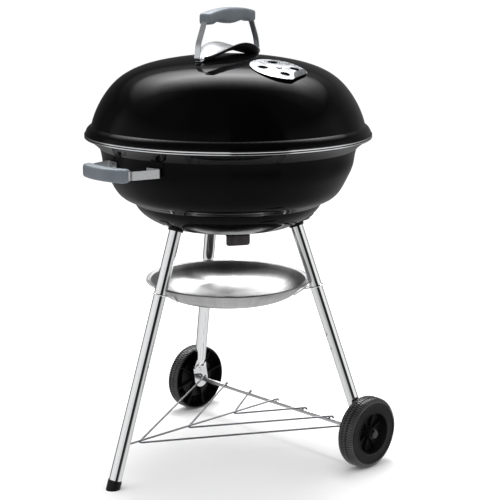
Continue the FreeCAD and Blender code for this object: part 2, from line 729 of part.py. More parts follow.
def lid_damper_disc():
    """Dished disc with four holes and a finger tab turned up on a chord."""
    disc = damper_disc(LID_DAMPER, 1)
    chord = LID_DAMPER["radius"] * math.cos(math.radians(32))
    keep = box((-100, -100, -50), (chord, 100, 50))
    chord_z = -LID_DAMPER["dish"] * (chord / LID_DAMPER["radius"]) ** 2
    fold = chord + 1.5
    middle_z = chord_z + DAMPER_SHEET / 2
    points = [V(chord - 3, 0, middle_z), V(fold, 0, middle_z - 0.2),
              V(fold - LID_TAB_LEAN, 0, chord_z + LID_TAB_RISE)]
    tab = bent_strap(points, [1.0], V(0, 1, 0), LID_TAB_WIDTH, DAMPER_SHEET)
    top_z = tab.BoundBox.ZMax
    corners = [edge for edge in tab.Edges if edge.BoundBox.YLength < 0.01 and edge.BoundBox.ZMax > top_z - 1
               and edge.Length < 2 * DAMPER_SHEET]
    tab = tab.makeChamfer(TAB_CORNER, corners)
    whole = largest(disc.common(keep).fuse(tab))
    whole.rotate(V(0, 0, 0), V(0, 0, 1), LID_TAB_TURN)
    whole.translate(V(0, 0, VENT_LIFT))
    return on_vent(whole)


def lid_damper_rivet():
    grip_low = -SHEET - 0.2
    grip_high = VENT_LIFT + DAMPER_SHEET + 0.3
    return on_vent(rivet(grip_low, grip_high, 6.0, 1.8))


def ash_damper_rivet():
    return rivet(ash_disc_z() - 0.3, bowl_bottom_z() + SHEET + 0.1, 7.0, 1.8)


def dome_z(radius):
    return outline_frame(lid_outline()[1], radius)[0].z


def lid_strap_points():
    """Near half of the lid handle's strap, foot first, in the handle's own plane."""
    low = SHIELD_SHEET + STRAP_SHEET / 2 + FOOT_STAND_OFF
    foot_end = LID_FOOT - 7
    return [V(0, -foot_end, dome_z(foot_end) + low), V(0, -125, dome_z(125) + low),
            V(0, -120, 876), V(0, -88, GRIP_Z), V(0, 0, GRIP_Z)]


def lid_handle_bracket():
    """Two bowed straps that meet inside the grip."""
    strap = bent_strap(lid_strap_points(), (6.0, 60.0, 10.0), V(1, 0, 0), STRAP_WIDTH, STRAP_SHEET)
    far = at_angle(strap, 180.0)
    return in_handle(fuse([strap, far]).cut(lid_bolt_holes()))


def lid_handle_grip():
    """Arched bar with a wavy underside, shaped for the fingers."""
    end_z, middle_z = LID_GRIP_TOP
    top = Part.Arc(V(0, -GRIP_HALF, end_z), V(0, 0, middle_z), V(0, GRIP_HALF, end_z))
    near = [V(0, -y, z) for y, z in LID_GRIP_UNDER]
    far = [V(0, y, z) for y, z in LID_GRIP_UNDER[-2::-1]]
    under = Part.BSplineCurve()
    under.interpolate(near + far)
    ends = [Part.LineSegment(V(0, p.y, end_z), p) for p in (near[0], far[-1])]
    outline = Part.Wire(Part.__sortEdges__([c.toShape() for c in (top, under, ends[0], ends[1])]))
    bar = Part.Face(outline).extrude(V(LID_GRIP_WIDTH, 0, 0))
    bar.translate(V(-LID_GRIP_WIDTH / 2, 0, 0))
    long_edges = [edge for edge in bar.Edges if edge.BoundBox.XLength < 0.01 and edge.BoundBox.YLength > 100]
    bar = bar.makeFillet(LID_GRIP_EDGE, [edge for edge in long_edges if edge.BoundBox.ZMax > GRIP_Z])
    bar = in_handle(bar)
    return largest(bar.cut(lid_handle_bracket()))


def curl(half_width, share):
    """Height across the shield: flat where the strap stands on it, then rising to 1 at the edge."""
    flat = (STRAP_WIDTH / 2 + 1) / half_width
    return (max(abs(share) - flat, 0.0) / (1 - flat)) ** 2


def heat_shield():
    """Thin saddle between the handle's feet, its long edges curled up."""
    across = 8
    lengthwise = 12
    rows = []
    for i in range(-lengthwise, lengthwise + 1):
        u = i / lengthwise
        half_width = SHIELD_WIDTH / 2 - SHIELD_TAPER * abs(u) ** 2.5
        keel = dome_z(LID_FOOT) + 0.3 + SHIELD_ARCH * (1 - u ** 2) ** 2
        rise = SHIELD_CURL - SHIELD_CURL_LOSS * u ** 2
        rows.append([V(half_width * j / across, SHIELD_HALF * u, keel + rise * curl(half_width, j / across))
                     for j in range(-across, across + 1)])
    surface = Part.BSplineSurface()
    surface.interpolate(rows)
    sheet = surface.toShape().extrude(V(0, 0, SHIELD_SHEET))
    return in_handle(sheet.cut(lid_bolt_holes()))


def lid_handle_bolts():
    """Dome-headed, down through the strap, the shield and the lid."""
    bolts = []
    for side in (-1, 1):
        base = V(0, side * LID_FOOT, dome_z(LID_FOOT))
        seat = base.z + SHIELD_SHEET + STRAP_SHEET + FOOT_STAND_OFF + 1.0
        bottom = base - UP * 12
        shank = Part.makeCylinder(LID_BOLT_R - LID_BOLT_FIT, seat - bottom.z, bottom)
        head = Part.makeCylinder(LID_HEAD_R, LID_HEAD_HEIGHT, V(base.x, base.y, seat))
        rim = [edge for edge in head.Edges
               if edge.BoundBox.ZMin > seat + LID_HEAD_HEIGHT - 0.1 and edge.BoundBox.XLength > LID_HEAD_R]
        bolts.append(fuse([shank, head.makeFillet(2.6, rim)]))
    return in_handle(Part.Compound(bolts))


def lid_handle_nuts():
    """Six-sided nuts inside the lid."""
    nuts = []
    for side in (-1, 1):
        top_z = dome_z(LID_FOOT) - SHEET - 1.4
        corners = [polar(90 + 60 * i, LID_HEAD_R) for i in range(7)]
        nut = Part.Face(Part.makePolygon(corners)).extrude(V(0, 0, LID_NUT_HEIGHT))
        nut.translate(V(0, side * LID_FOOT, top_z - LID_NUT_HEIGHT))
        shank = Part.makeCylinder(LID_BOLT_R - LID_BOLT_FIT, 40, V(0, side * LID_FOOT, top_z - 20))
        nuts.append(nut.cut(shank))
    return in_handle(Part.Compound(nuts))


def main():
    os.makedirs(PARTS, exist_ok=True)
    bowl_solid = revolved_solid(bowl_outline())
    bowl_inside = revolved_solid(offset_runs(bowl_outline(), SHEET))
    save("bowl", bowl())
    save("foot_cap", foot_cap())
    save("leg_front", front_leg(bowl_solid))
    save("leg_right", wheel_leg(1, bowl_solid))
    save("leg_left", wheel_leg(-1, bowl_solid))
    socket = leg_socket(bowl_solid)
    clip = pan_clip()
    rivets = []
    for name, angle in LEG_ANGLES.items():
        save(f"leg_socket_{name}", at_angle(socket, angle))
        save(f"pan_clip_{name}", at_angle(clip, angle))
        rivets.append(at_angle(socket_rivet(), angle))
    save("socket_rivets", Part.Compound(rivets))
    save("axle", axle())
    save("axle_caps", axle_caps())
    save("wheel_right", wheel(1))
    save("wheel_left", wheel(-1))
    save("bottom_rack", bottom_rack())
    save("ash_pan", ash_pan())
    save("ash_damper_disc", ash_damper_disc())
    save("ash_damper_rivet", ash_damper_rivet())
    save("charcoal_grate", charcoal_grate())
    save("cooking_grate", cooking_grate())
    coal_top = COAL_GRATE_Z - 3 * GRATE_ROD_R + 0.1
    coal_shelves = grate_brackets(bowl_inside, coal_top, COAL_SHELF_REACH, COAL_SHELF_ANGLES)
    save("charcoal_grate_brackets", coal_shelves)
    cook_top = COOK_GRATE_Z - GRATE_ROD_R - 0.3
    cook_shelves = grate_brackets(bowl_inside, cook_top, COOK_SHELF_REACH, COOK_SHELF_ANGLES)
    save("cooking_grate_brackets", cook_shelves)
    save("side_handle_bracket", side_handle_bracket())
    save("side_handle_grip", side_handle_grip())
    save("side_handle_bolts", side_handle_bolts())
    save("lid_shell", lid_shell())
    save("lid_handle_bracket", lid_handle_bracket())
    save("lid_handle_grip", lid_handle_grip())
    save("lid_handle_bolts", lid_handle_bolts())
    save("lid_handle_nuts", lid_handle_nuts())
    save("heat_shield", heat_shield())
    save("lid_damper_disc", lid_damper_disc())
    save("lid_damper_rivet", lid_damper_rivet())


main()
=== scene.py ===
import math

import bmesh
import bpy
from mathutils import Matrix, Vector


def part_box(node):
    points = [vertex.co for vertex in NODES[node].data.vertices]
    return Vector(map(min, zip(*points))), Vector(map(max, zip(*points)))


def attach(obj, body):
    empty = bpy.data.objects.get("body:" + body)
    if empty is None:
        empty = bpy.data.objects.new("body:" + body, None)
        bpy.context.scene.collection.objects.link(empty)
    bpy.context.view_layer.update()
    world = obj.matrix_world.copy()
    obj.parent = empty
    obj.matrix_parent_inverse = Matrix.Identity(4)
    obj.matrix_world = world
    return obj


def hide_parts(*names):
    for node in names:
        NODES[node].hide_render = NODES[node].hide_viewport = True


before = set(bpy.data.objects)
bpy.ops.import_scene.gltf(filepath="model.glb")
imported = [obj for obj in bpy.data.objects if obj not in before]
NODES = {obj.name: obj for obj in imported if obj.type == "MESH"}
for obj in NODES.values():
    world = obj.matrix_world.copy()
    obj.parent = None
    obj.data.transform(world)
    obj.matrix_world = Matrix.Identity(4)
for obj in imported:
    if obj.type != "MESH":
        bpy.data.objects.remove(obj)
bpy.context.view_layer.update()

MM = 0.001
BOWL_LOW, BOWL_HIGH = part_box("bowl")
KETTLE_X = (BOWL_LOW.x + BOWL_HIGH.x) / 2
KETTLE_Y = (BOWL_LOW.y + BOWL_HIGH.y) / 2
RIM_R = (BOWL_HIGH.x - BOWL_LOW.x) / 2


# ---- camera ----

CAMERA_PLACE = (2.0558, -1.9361, 1.0593)
CAMERA_TARGET = (0.0, 0.025, 0.4334)
LENS_MM = 99.88
SENSOR_MM = 36.0
SHIFT = (0.0327, 0.0093)


def aim(thing, place, target):
    thing.location = place
    thing.rotation_euler = (Vector(target) - Vector(place)).to_track_quat("-Z", "Y").to_euler()


def make_camera():
    data = bpy.data.cameras.new("camera")
    data.lens = LENS_MM
    data.sensor_width = SENSOR_MM
    data.shift_x, data.shift_y = SHIFT
    camera = bpy.data.objects.new("camera", data)
    bpy.context.scene.collection.objects.link(camera)
    aim(camera, CAMERA_PLACE, CAMERA_TARGET)
    bpy.context.scene.camera = camera


# ---- shader nodes, for the studio and the materials ----

def join(tree, source, socket):
    """Feed a socket from another node, or set it to a plain value."""
    if isinstance(source, bpy.types.NodeSocket):
        tree.links.new(source, socket)
    else:
        socket.default_value = source


def number_maths(tree, kind, first, second=0.0):
    node = tree.nodes.new("ShaderNodeMath")
    node.operation = kind
    join(tree, first, node.inputs[0])
    join(tree, second, node.inputs[1])
    return node.outputs["Value"]


def vector_maths(tree, kind, first, second=(0.0, 0.0, 0.0), output="Vector"):
    node = tree.nodes.new("ShaderNodeVectorMath")
    node.operation = kind
    join(tree, first, node.inputs[0])
    join(tree, second, node.inputs[1])
    return node.outputs[output]


def height_of(tree, vector):
    split = tree.nodes.new("ShaderNodeSeparateXYZ")
    tree.links.new(vector, split.inputs[0])
    return split.outputs["Z"]


# ---- studio ----

GLOW_STRENGTH = 18.0
# Each ramp is a list of places and brightnesses.
# Round the horizon: 0 and 1 are behind the grill, and 0.5 is the camera.
SIDES_ROUND = ((0.0, 0.08), (0.13, 0.08), (0.17, 0.20), (0.20, 0.90), (0.34, 0.95), (0.47, 0.75), (0.5, 0.80),
               (0.508, 0.02), (0.63, 0.02), (0.645, 0.95), (0.78, 0.95), (0.83, 0.35), (0.92, 0.28),
               (1.0, 0.08))
GLOW_ROUND = ((0.0, 1.0), (0.07, 0.9), (0.13, 0.45), (0.20, 0.06), (0.27, 0.0), (0.73, 0.0), (0.80, 0.06),
              (0.87, 0.45), (0.93, 0.9), (1.0, 1.0))
# From straight down at 0, through the horizon at 0.5, to straight up at 1.
SIDES_RISE = ((0.0, 0.0), (0.22, 0.0), (0.33, 0.55), (0.46, 0.60), (0.50, 1.0), (0.66, 1.0), (0.76, 0.25),
              (1.0, 0.03))
FLOOR_RISE = ((0.0, 1.0), (0.22, 0.8), (0.33, 0.25), (0.42, 0.06), (0.5, 0.0), (1.0, 0.0))
GLOW_RISE = ((0.0, 0.0), (0.68, 0.0), (0.76, 0.03), (0.83, 0.45), (0.88, 1.0), (0.92, 0.80), (0.96, 0.36),
             (0.985, 0.10), (1.0, 0.0))
FILL_RISE = ((0.0, 0.45), (0.5, 0.48), (0.7, 0.95), (1.0, 1.30))

LAMP_OFFSET = (-0.3, 0.3)       # from the kettle's axis
LAMP_HEIGHT = 2.6
LAMP_TARGET_HEIGHT = 0.45
LAMP_SIDE = 1.2
LAMP_WATTS = 75.0

FLOOR_Z = 0.0
FLOOR_HALF = 30.0


def grey_ramp(tree, value, stops):
    """A grey looked up from a value between 0 and 1."""
    node = tree.nodes.new("ShaderNodeValToRGB")
    elements = node.color_ramp.elements
    while len(elements) < len(stops):
        elements.new(0.5)
    for element, (place, grey) in zip(elements, stops):
        element.position = place
        element.color = (grey, grey, grey, 1.0)
    tree.links.new(value, node.inputs["Fac"])
    return node.outputs["Color"]


def sky_height(tree, direction):
    """0 straight down, 0.5 at the horizon, 1 straight up."""
    height = tree.nodes.new("ShaderNodeMapRange")
    height.inputs["From Min"].default_value = -1.0
    tree.links.new(height_of(tree, direction), height.inputs["Value"])
    return height.outputs["Result"]


def sky_turn(tree, direction):
    """Round the horizon: 0.5 towards the camera, 0 and 1 away from it."""
    front = Vector(CAMERA_PLACE) - Vector(CAMERA_TARGET)
    turned = tree.nodes.new("ShaderNodeMapping")
    turned.inputs["Rotation"].default_value = (0.0, 0.0, -math.atan2(front.y, front.x))
    tree.links.new(direction, turned.inputs["Vector"])
    round_axis = tree.nodes.new("ShaderNodeTexGradient")
    round_axis.gradient_type = "RADIAL"
    tree.links.new(turned.outputs["Vector"], round_axis.inputs["Vector"])
    return round_axis.outputs["Fac"]


def sky_patch(tree, direction, round_stops, rise_stops):
    """A patch of light, shaped round the horizon and by height."""
    round_light = grey_ramp(tree, sky_turn(tree, direction), round_stops)
    rise_light = grey_ramp(tree, sky_height(tree, direction), rise_stops)
    return vector_maths(tree, "MULTIPLY", round_light, rise_light)


def mirrored_light(tree, direction):
    """What glossy surfaces mirror: bright sides, a dark front, the floor and a high glow behind."""
    sides = sky_patch(tree, direction, SIDES_ROUND, SIDES_RISE)
    glow = sky_patch(tree, direction, GLOW_ROUND, GLOW_RISE)
    bright_glow = vector_maths(tree, "MULTIPLY", glow, (GLOW_STRENGTH, GLOW_STRENGTH, GLOW_STRENGTH))
    floor = grey_ramp(tree, sky_height(tree, direction), FLOOR_RISE)
    return vector_maths(tree, "ADD", vector_maths(tree, "ADD", sides, floor), bright_glow)


def background(tree, colour):
    node = tree.nodes.new("ShaderNodeBackground")
    tree.links.new(colour, node.inputs["Color"])
    return node.outputs[0]


def make_world():
    """Mirroring surfaces see mirrored_light, and all else sees a plain fill graded by height."""
    world = bpy.data.worlds.new("studio")
    bpy.context.scene.world = world
    world.use_nodes = True
    tree = world.node_tree
    tree.nodes.clear()
    direction = tree.nodes.new("ShaderNodeTexCoord").outputs["Generated"]
    fill = grey_ramp(tree, sky_height(tree, direction), FILL_RISE)
    chosen = tree.nodes.new("ShaderNodeMixShader")
    tree.links.new(tree.nodes.new("ShaderNodeLightPath").outputs["Is Glossy Ray"], chosen.inputs["Fac"])
    tree.links.new(background(tree, fill), chosen.inputs[1])
    tree.links.new(background(tree, mirrored_light(tree, direction)), chosen.inputs[2])
    out = tree.nodes.new("ShaderNodeOutputWorld")
    tree.links.new(chosen.outputs[0], out.inputs["Surface"])


def make_lamp():
    """One soft overhead lamp, which no surface mirrors."""
    data = bpy.data.lights.new("overhead", "AREA")
    data.shape = "RECTANGLE"
    data.size = LAMP_SIDE
    data.size_y = LAMP_SIDE
    data.energy = LAMP_WATTS
    lamp = bpy.data.objects.new("overhead", data)
    lamp.visible_camera = False
    lamp.visible_glossy = False
    bpy.context.scene.collection.objects.link(lamp)
    place = (LAMP_OFFSET[0], KETTLE_Y + LAMP_OFFSET[1], LAMP_HEIGHT)
    aim(lamp, place, (0.0, KETTLE_Y, LAMP_TARGET_HEIGHT))


def make_floor():
    corners = [(x * FLOOR_HALF, y * FLOOR_HALF, FLOOR_Z) for x, y in ((-1, -1), (1, -1), (1, 1), (-1, 1))]
    mesh = bpy.data.meshes.new("floor")
    mesh.from_pydata(corners, [], [(0, 1, 2, 3)])
    floor = bpy.data.objects.new("floor", mesh)
    bpy.context.scene.collection.objects.link(floor)
    floor.data.materials.append(floor_material())
    floor.visible_glossy = False


# ---- shapes ----

CORNER_REACH = 0.45     # most of a side that the arc at its end may take


def rounded(points, radius, steps):
    """A closed outline with its corners turned into small arcs."""
    smooth = []
    count = len(points)
    for i in range(count):
        before, corner, after = Vector(points[i - 1]), Vector(points[i]), Vector(points[(i + 1) % count])
        back = before - corner
        ahead = after - corner
        reach = min(radius, back.length * CORNER_REACH, ahead.length * CORNER_REACH)
        start = corner + back.normalized() * reach
        end = corner + ahead.normalized() * reach
        for k in range(steps + 1):
            share = k / steps
            smooth.append(start * (1 - share) ** 2 + corner * 2 * share * (1 - share) + end * share ** 2)
    return smooth


def new_piece(name, vertices, faces, materials, body):
    """A mesh piece with its finish, riding on a body of the frame."""
    mesh = bpy.data.meshes.new(name)
    mesh.from_pydata([tuple(v) for v in vertices], [], faces)
    mesh.validate()
    mesh.polygons.foreach_set("use_smooth", [True] * len(mesh.polygons))
    piece = bpy.data.objects.new(name, mesh)
    bpy.context.scene.collection.objects.link(piece)
    for material in materials:
        mesh.materials.append(material)
    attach(piece, body)
    return piece


def tube_faces(rings, around, first=0):
    """Quads joining rings of equal length; every ring closes on itself."""
    faces = []
    for i in range(rings - 1):
        for j in range(around):
            k = (j + 1) % around
            a = first + i * around
            faces.append((a + j, a + k, a + around + k, a + around + j))
    return faces


def ring_faces(rings, around):
    """The same, with the last ring joined to the first."""
    last = (rings - 1) * around
    closing = [(last + j, last + (j + 1) % around, (j + 1) % around, j) for j in range(around)]
    return tube_faces(rings, around) + closing


def turn_outwards(piece):
    """Make every face look out of its own closed shell."""
    work = bmesh.new()
    work.from_mesh(piece.data)
    bmesh.ops.recalc_face_normals(work, faces=work.faces)
    work.to_mesh(piece.data)
    work.free()


def sharpen(piece, degrees):
    """Keep edges steeper than this crisp."""
    piece.data.set_sharp_from_angle(angle=math.radians(degrees))


# ---- wheels, in millimetres ----

TREAD_BLOCKS = 84
STEPS_PER_BLOCK = 6
BLOCK_STEPS = 3
TREAD_DEPTH = 2.6
STAGGERED_ROW = 2
WHEEL_RIBS = 8
RIB_THICK = 1.8
RIB_EASE = 0.35
FACE_CORNER_R = 0.7
FACE_CORNER_STEPS = 3
WHEEL_CREASE = 32.0
FIRST_RIB = {"wheel_right": 18.0, "wheel_left": 32.0}
# Distance outwards from the middle plane, radius, and tread row or 0, over the tread from the inner edge.
TREAD_SECTION = ((-17.5, 70.6, 0), (-17.4, 71.6, 0), (-17.0, 72.8, 1), (-14.5, 74.2, 1), (-11.0, 74.9, 1),
                 (-7.3, 75.0, 1), (-7.0, 73.8, 0), (-6.4, 73.8, 0), (-6.1, 75.0, 2), (-2.0, 75.0, 2),
                 (2.5, 75.0, 2), (2.9, 73.2, 0), (5.0, 73.2, 0), (5.4, 74.9, 3), (8.5, 74.5, 3),
                 (11.8, 73.2, 3), (14.4, 70.9, 3), (16.1, 67.8, 3), (16.8, 65.6, 3), (17.1, 64.6, 0))
# Distance outwards and radius, down the outer side, through the bore and up the inner side.
FACE_SECTION = ((17.5, 63.4), (17.5, 62.2), (16.2, 61.2), (16.2, 46.4), (17.3, 45.6), (17.3, 44.2),
                (16.2, 43.2), (-2.0, 42.6), (-2.0, 14.0), (15.8, 12.4), (16.5, 11.6), (16.5, 5.1),
                (-17.5, 5.1), (-17.5, 12.0), (-5.0, 14.0), (-5.0, 46.0), (13.8, 47.4), (14.4, 60.0),
                (12.6, 66.4), (8.0, 69.8), (0.0, 71.0), (-17.3, 69.2))
# Outwards from and to, then radius from and to.
WELL_RIB = (-3.0, 5.0, 12.0, 43.4)
WEB_RIB = (-14.0, -4.0, 13.0, 46.6)
RIM_RIB = (-14.0, 11.0, 46.2, 69.8)


def wheel_outline():
    """The closed section as points of distance, radius and tread row."""
    face = rounded([(out, radius, 0.0) for out, radius in FACE_SECTION], FACE_CORNER_R, FACE_CORNER_STEPS)
    return [Vector(point) for point in TREAD_SECTION] + face


def tread_drop(row, step):
    """How far a gap between blocks lies below them; the middle row is half a block on."""
    if round(row) == 0:
        return 0.0
    shift = STEPS_PER_BLOCK // 2 if round(row) == STAGGERED_ROW else 0
    return 0.0 if (step + shift) % STEPS_PER_BLOCK < BLOCK_STEPS else TREAD_DEPTH


def wheel_point(centre, side, out, radius, turn):
    back = centre.y + radius * MM * math.sin(turn)
    up = centre.z + radius * MM * math.cos(turn)
    return (centre.x + side * out * MM, back, up)


def wheel_rib(centre, side, extent, turn, vertices, faces):
    """A thin upright plate with its long edges eased."""
    low, high, inner, outer = extent
    half = RIB_THICK / 2
    section = ((low, half), (high - RIB_EASE, half), (high, half - RIB_EASE), (high, RIB_EASE - half),
               (high - RIB_EASE, -half), (low, -half))
    sideways = Vector((0.0, math.cos(turn), -math.sin(turn)))
    first = len(vertices)
    for radius in (inner, outer):
        for out, wide in section:
            vertices.append(Vector(wheel_point(centre, side, out, radius, turn)) + sideways * wide * MM)
    corners = len(section)
    faces += tube_faces(2, corners, first)
    faces.append(tuple(range(first, first + corners)))
    faces.append(tuple(range(first + 2 * corners - 1, first + corners - 1, -1)))


def make_wheel(name, side, materials):
    """A moulded wheel with a blocked tread; side is 1 where the outer face looks along +X."""
    low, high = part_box(name)
    centre = (low + high) / 2
    outline = wheel_outline()
    around = len(outline)
    steps = TREAD_BLOCKS * STEPS_PER_BLOCK
    vertices = []
    for step in range(steps):
        turn = 2 * math.pi * step / steps
        for out, radius, row in outline:
            vertices.append(wheel_point(centre, side, out, radius - tread_drop(row, step), turn))
    faces = ring_faces(steps, around)
    for i in range(WHEEL_RIBS):
        turn = math.radians(FIRST_RIB[name] + 360 * i / WHEEL_RIBS)
        for extent in (WELL_RIB, WEB_RIB, RIM_RIB):
            wheel_rib(centre, side, extent, turn, vertices, faces)
    piece = new_piece(name + "_tread", vertices, faces,
                      [materials["black_plastic"], materials["lit_tread_plastic"]], name)
    finish_blocks(piece, outline, steps * around)
    turn_outwards(piece)
    sharpen(piece, WHEEL_CREASE)
    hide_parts(name)


def finish_blocks(piece, outline, ring_vertices):
    """Give the faces on the tread blocks the second finish, a lighter and glossier copy of the black plastic
    that paints in the light caught by the tread.
    """
    around = len(outline)
    blocks = {index for index, point in enumerate(outline) if round(point.z) > 0}
    for face in piece.data.polygons:
        if max(face.vertices) < ring_vertices and all(v % around in blocks for v in face.vertices):
            face.material_index = 1


# ---- grips, in millimetres ----

BAR_AROUND = 40
BAR_STEPS = 56
BAR_CREASE = 40.0
END_POWER = 2.6
END_HEIGHT = 0.6            # share of a grip's height, width or depth that is left at its ends
LID_END_WIDTH = 0.5
SIDE_END_DEPTH = 0.35

LID_HANDLE_TURN = math.radians(17.0)
LID_GRIP_HALF = 96.0
LID_GRIP_WIDTH = 26.0
LID_GRIP_WAIST = 1.0        # how much slimmer each side is in the middle
LID_GRIP_ARCH = 9.0         # how much lower its top is at the ends
LID_GRIP_BELLY = 5.5        # rise of the underside out to the belly's share of the half length
LID_BELLY_SHARE = 0.58
LID_GRIP_HEEL = 4.5         # fall of the underside over the heel's share
LID_HEEL_SHARE = 0.25
LID_GRIP_CLEAR = 0.3
LID_END_SHARE = 0.93
LID_GRIP_POWER = 4.5

SIDE_GRIP_HALF = 62.0
SIDE_GRIP_BOW = 13.0        # how far its front falls back at the ends
SIDE_GRIP_DEPTH = 26.0
SIDE_GRIP_BACK_BOW = 10.0
SIDE_END_SHARE = 0.86
SIDE_GRIP_POWER = 4.0


def squircle(half_across, half_up, count, power):
    """Points round an upright section whose corners are softly squared."""
    points = []
    for j in range(count):
        turn = 2 * math.pi * j / count
        across, up = math.cos(turn), math.sin(turn)
        points.append((half_across * math.copysign(abs(across) ** (2 / power), across),
                       half_up * math.copysign(abs(up) ** (2 / power), up)))
    return points


def end_ease(share, from_share):
    """Full size up to from_share of the half length, then rounding off to nothing at the end."""
    over = max(abs(share) - from_share, 0.0) / (1 - from_share)
    return max(1 - over ** END_POWER, 0.0) ** (1 / END_POWER)


def tapered(size, least, ease):
    """The size, brought down to its least share where the ease is 0."""
    return size * (least + (1 - least) * ease)


def wave(share):
    """A smooth step from 0 to 1 as the share goes from 0 to 1."""
    return (1 - math.cos(math.pi * min(share, 1.0))) / 2


def bar_stations(count):
    """Places from -1 to 1 along a bar, closer together at its ends."""
    return [math.sin(math.pi / 2 * math.sin(math.pi / 2 * (2 * i / count - 1))) for i in range(count + 1)]


def make_bar(name, body, material, section_at, replaced):
    """A closed bar through sections; section_at gives the points of one from its place."""
    stations = bar_stations(BAR_STEPS)
    vertices = []
    for share in stations:
        vertices += section_at(share)
    faces = tube_faces(len(stations), BAR_AROUND)
    faces.append(tuple(range(BAR_AROUND - 1, -1, -1)))
    faces.append(tuple(range(len(vertices) - BAR_AROUND, len(vertices))))
    piece = new_piece(name, vertices, faces, [material], body)
    turn_outwards(piece)
    sharpen(piece, BAR_CREASE)
    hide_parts(replaced)


def lid_grip_section(share):
    """Arched top, a finger wave below, and slightly hollow sides."""
    low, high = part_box("lid_handle_grip")
    centre = (low + high) / 2
    along = Vector((math.sin(-LID_HANDLE_TURN), math.cos(LID_HANDLE_TURN), 0.0))
    sideways = Vector((along.y, -along.x, 0.0))
    outward = abs(share)
    top = high.z - LID_GRIP_ARCH * MM * outward ** 2
    belly = LID_GRIP_BELLY * MM * wave(outward / LID_BELLY_SHARE)
    heel = LID_GRIP_HEEL * MM * wave(max(outward - LID_BELLY_SHARE, 0.0) / LID_HEEL_SHARE)
    bottom = low.z + belly - heel + LID_GRIP_CLEAR * MM
    ease = end_ease(share, LID_END_SHARE)
    waist = LID_GRIP_WAIST * (1 - outward ** 2)
    half_width = tapered((LID_GRIP_WIDTH / 2 - waist) * MM, LID_END_WIDTH, ease)
    half_height = tapered((top - bottom) / 2, END_HEIGHT, ease)
    middle = Vector((centre.x, centre.y, (top + bottom) / 2)) + along * (share * LID_GRIP_HALF * MM)
    section = squircle(half_width, half_height, BAR_AROUND, LID_GRIP_POWER)
    return [middle + sideways * across + Vector((0.0, 0.0, up)) for across, up in section]


def side_grip_section(share):
    """A bowed bar with rounded ends."""
    low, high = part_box("side_handle_grip")
    outward = abs(share)
    front = low.y + SIDE_GRIP_BOW * MM * outward ** 2
    back = low.y + (SIDE_GRIP_DEPTH + SIDE_GRIP_BACK_BOW * outward ** 2) * MM
    ease = end_ease(share, SIDE_END_SHARE)
    half_depth = tapered((back - front) / 2, SIDE_END_DEPTH, ease)
    half_height = tapered((high.z - low.z) / 2, END_HEIGHT, ease)
    centre = (low + high) / 2
    middle = Vector((centre.x + share * SIDE_GRIP_HALF * MM, (front + back) / 2, centre.z))
    section = squircle(half_depth, half_height, BAR_AROUND, SIDE_GRIP_POWER)
    return [middle + Vector((0.0, across, up)) for across, up in section]


# ---- rolled edges, in millimetres ----

BEAD_R = 2.2
BEAD_SKIN = 0.02        # how far the smooth bead stands out of the CAD one
BEAD_STEPS = 360
BEAD_AROUND = 28
LID_BEAD_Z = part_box("lid_shell")[0].z + BEAD_R * MM
BOWL_BEAD_Z = BOWL_HIGH.z - BEAD_R * MM


def make_bead(name, height, body, material):
    """The smooth rolled edge that runs all round the sheet."""
    ring_r = RIM_R - BEAD_R * MM
    tube_r = (BEAD_R + BEAD_SKIN) * MM
    vertices = []
    for i in range(BEAD_STEPS):
        turn = 2 * math.pi * i / BEAD_STEPS
        for j in range(BEAD_AROUND):
            roll = 2 * math.pi * j / BEAD_AROUND
            radius = ring_r + tube_r * math.cos(roll)
            vertices.append((KETTLE_X + radius * math.sin(turn), KETTLE_Y - radius * math.cos(turn),
                             height + tube_r * math.sin(roll)))
    piece = new_piece(name, vertices, ring_faces(BEAD_STEPS, BEAD_AROUND), [material], body)
    turn_outwards(piece)


# ---- materials ----

ENAMEL_LEVEL = 0.045
HIGHLIGHT_LINE_HALF = 1.1         # half height of the painted highlight line, a bright metal strip on a rolled edge, in millimetres
HIGHLIGHT_LINE_LEAN = 0.35        # how far it lies towards the other edge


def shader(name, metallic=0.0, level=0.5):
    """A new material, with its node tree and its principled shader."""
    material = bpy.data.materials.new(name)
    material.use_nodes = True
    surface = material.node_tree.nodes["Principled BSDF"]
    surface.inputs["Metallic"].default_value = metallic
    surface.inputs["Specular IOR Level"].default_value = level
    return material, material.node_tree, surface


def object_place(tree):
    return tree.nodes.new("ShaderNodeTexCoord").outputs["Object"]


def stretched(tree, scale=(1.0, 1.0, 1.0)):
    """Object coordinates, scaled so that a texture's grain runs along the smallest."""
    mapping = tree.nodes.new("ShaderNodeMapping")
    mapping.inputs["Scale"].default_value = scale
    tree.links.new(object_place(tree), mapping.inputs["Vector"])
    return mapping.outputs["Vector"]


def from_axis(tree):
    """The level vector from the kettle's axis."""
    moved = vector_maths(tree, "SUBTRACT", object_place(tree), (KETTLE_X, KETTLE_Y, 0.0))
    return vector_maths(tree, "MULTIPLY", moved, (1.0, 1.0, 0.0))


def axis_distance(tree):
    return vector_maths(tree, "LENGTH", from_axis(tree), output="Value")


def polar_place(tree, around, outward):
    """Coordinates whose grain runs round the kettle's axis."""
    unit = vector_maths(tree, "NORMALIZE", from_axis(tree))
    turn = vector_maths(tree, "MULTIPLY", unit, (around, around, 0.0))
    rise = tree.nodes.new("ShaderNodeCombineXYZ")
    tree.links.new(number_maths(tree, "MULTIPLY", axis_distance(tree), outward), rise.inputs["Z"])
    return vector_maths(tree, "ADD", turn, rise.outputs[0])


def noise(tree, place, scale, detail=4.0, rough=0.5):
    node = tree.nodes.new("ShaderNodeTexNoise")
    node.inputs["Scale"].default_value = scale
    node.inputs["Detail"].default_value = detail
    node.inputs["Roughness"].default_value = rough
    tree.links.new(place, node.inputs["Vector"])
    return node.outputs["Fac"]


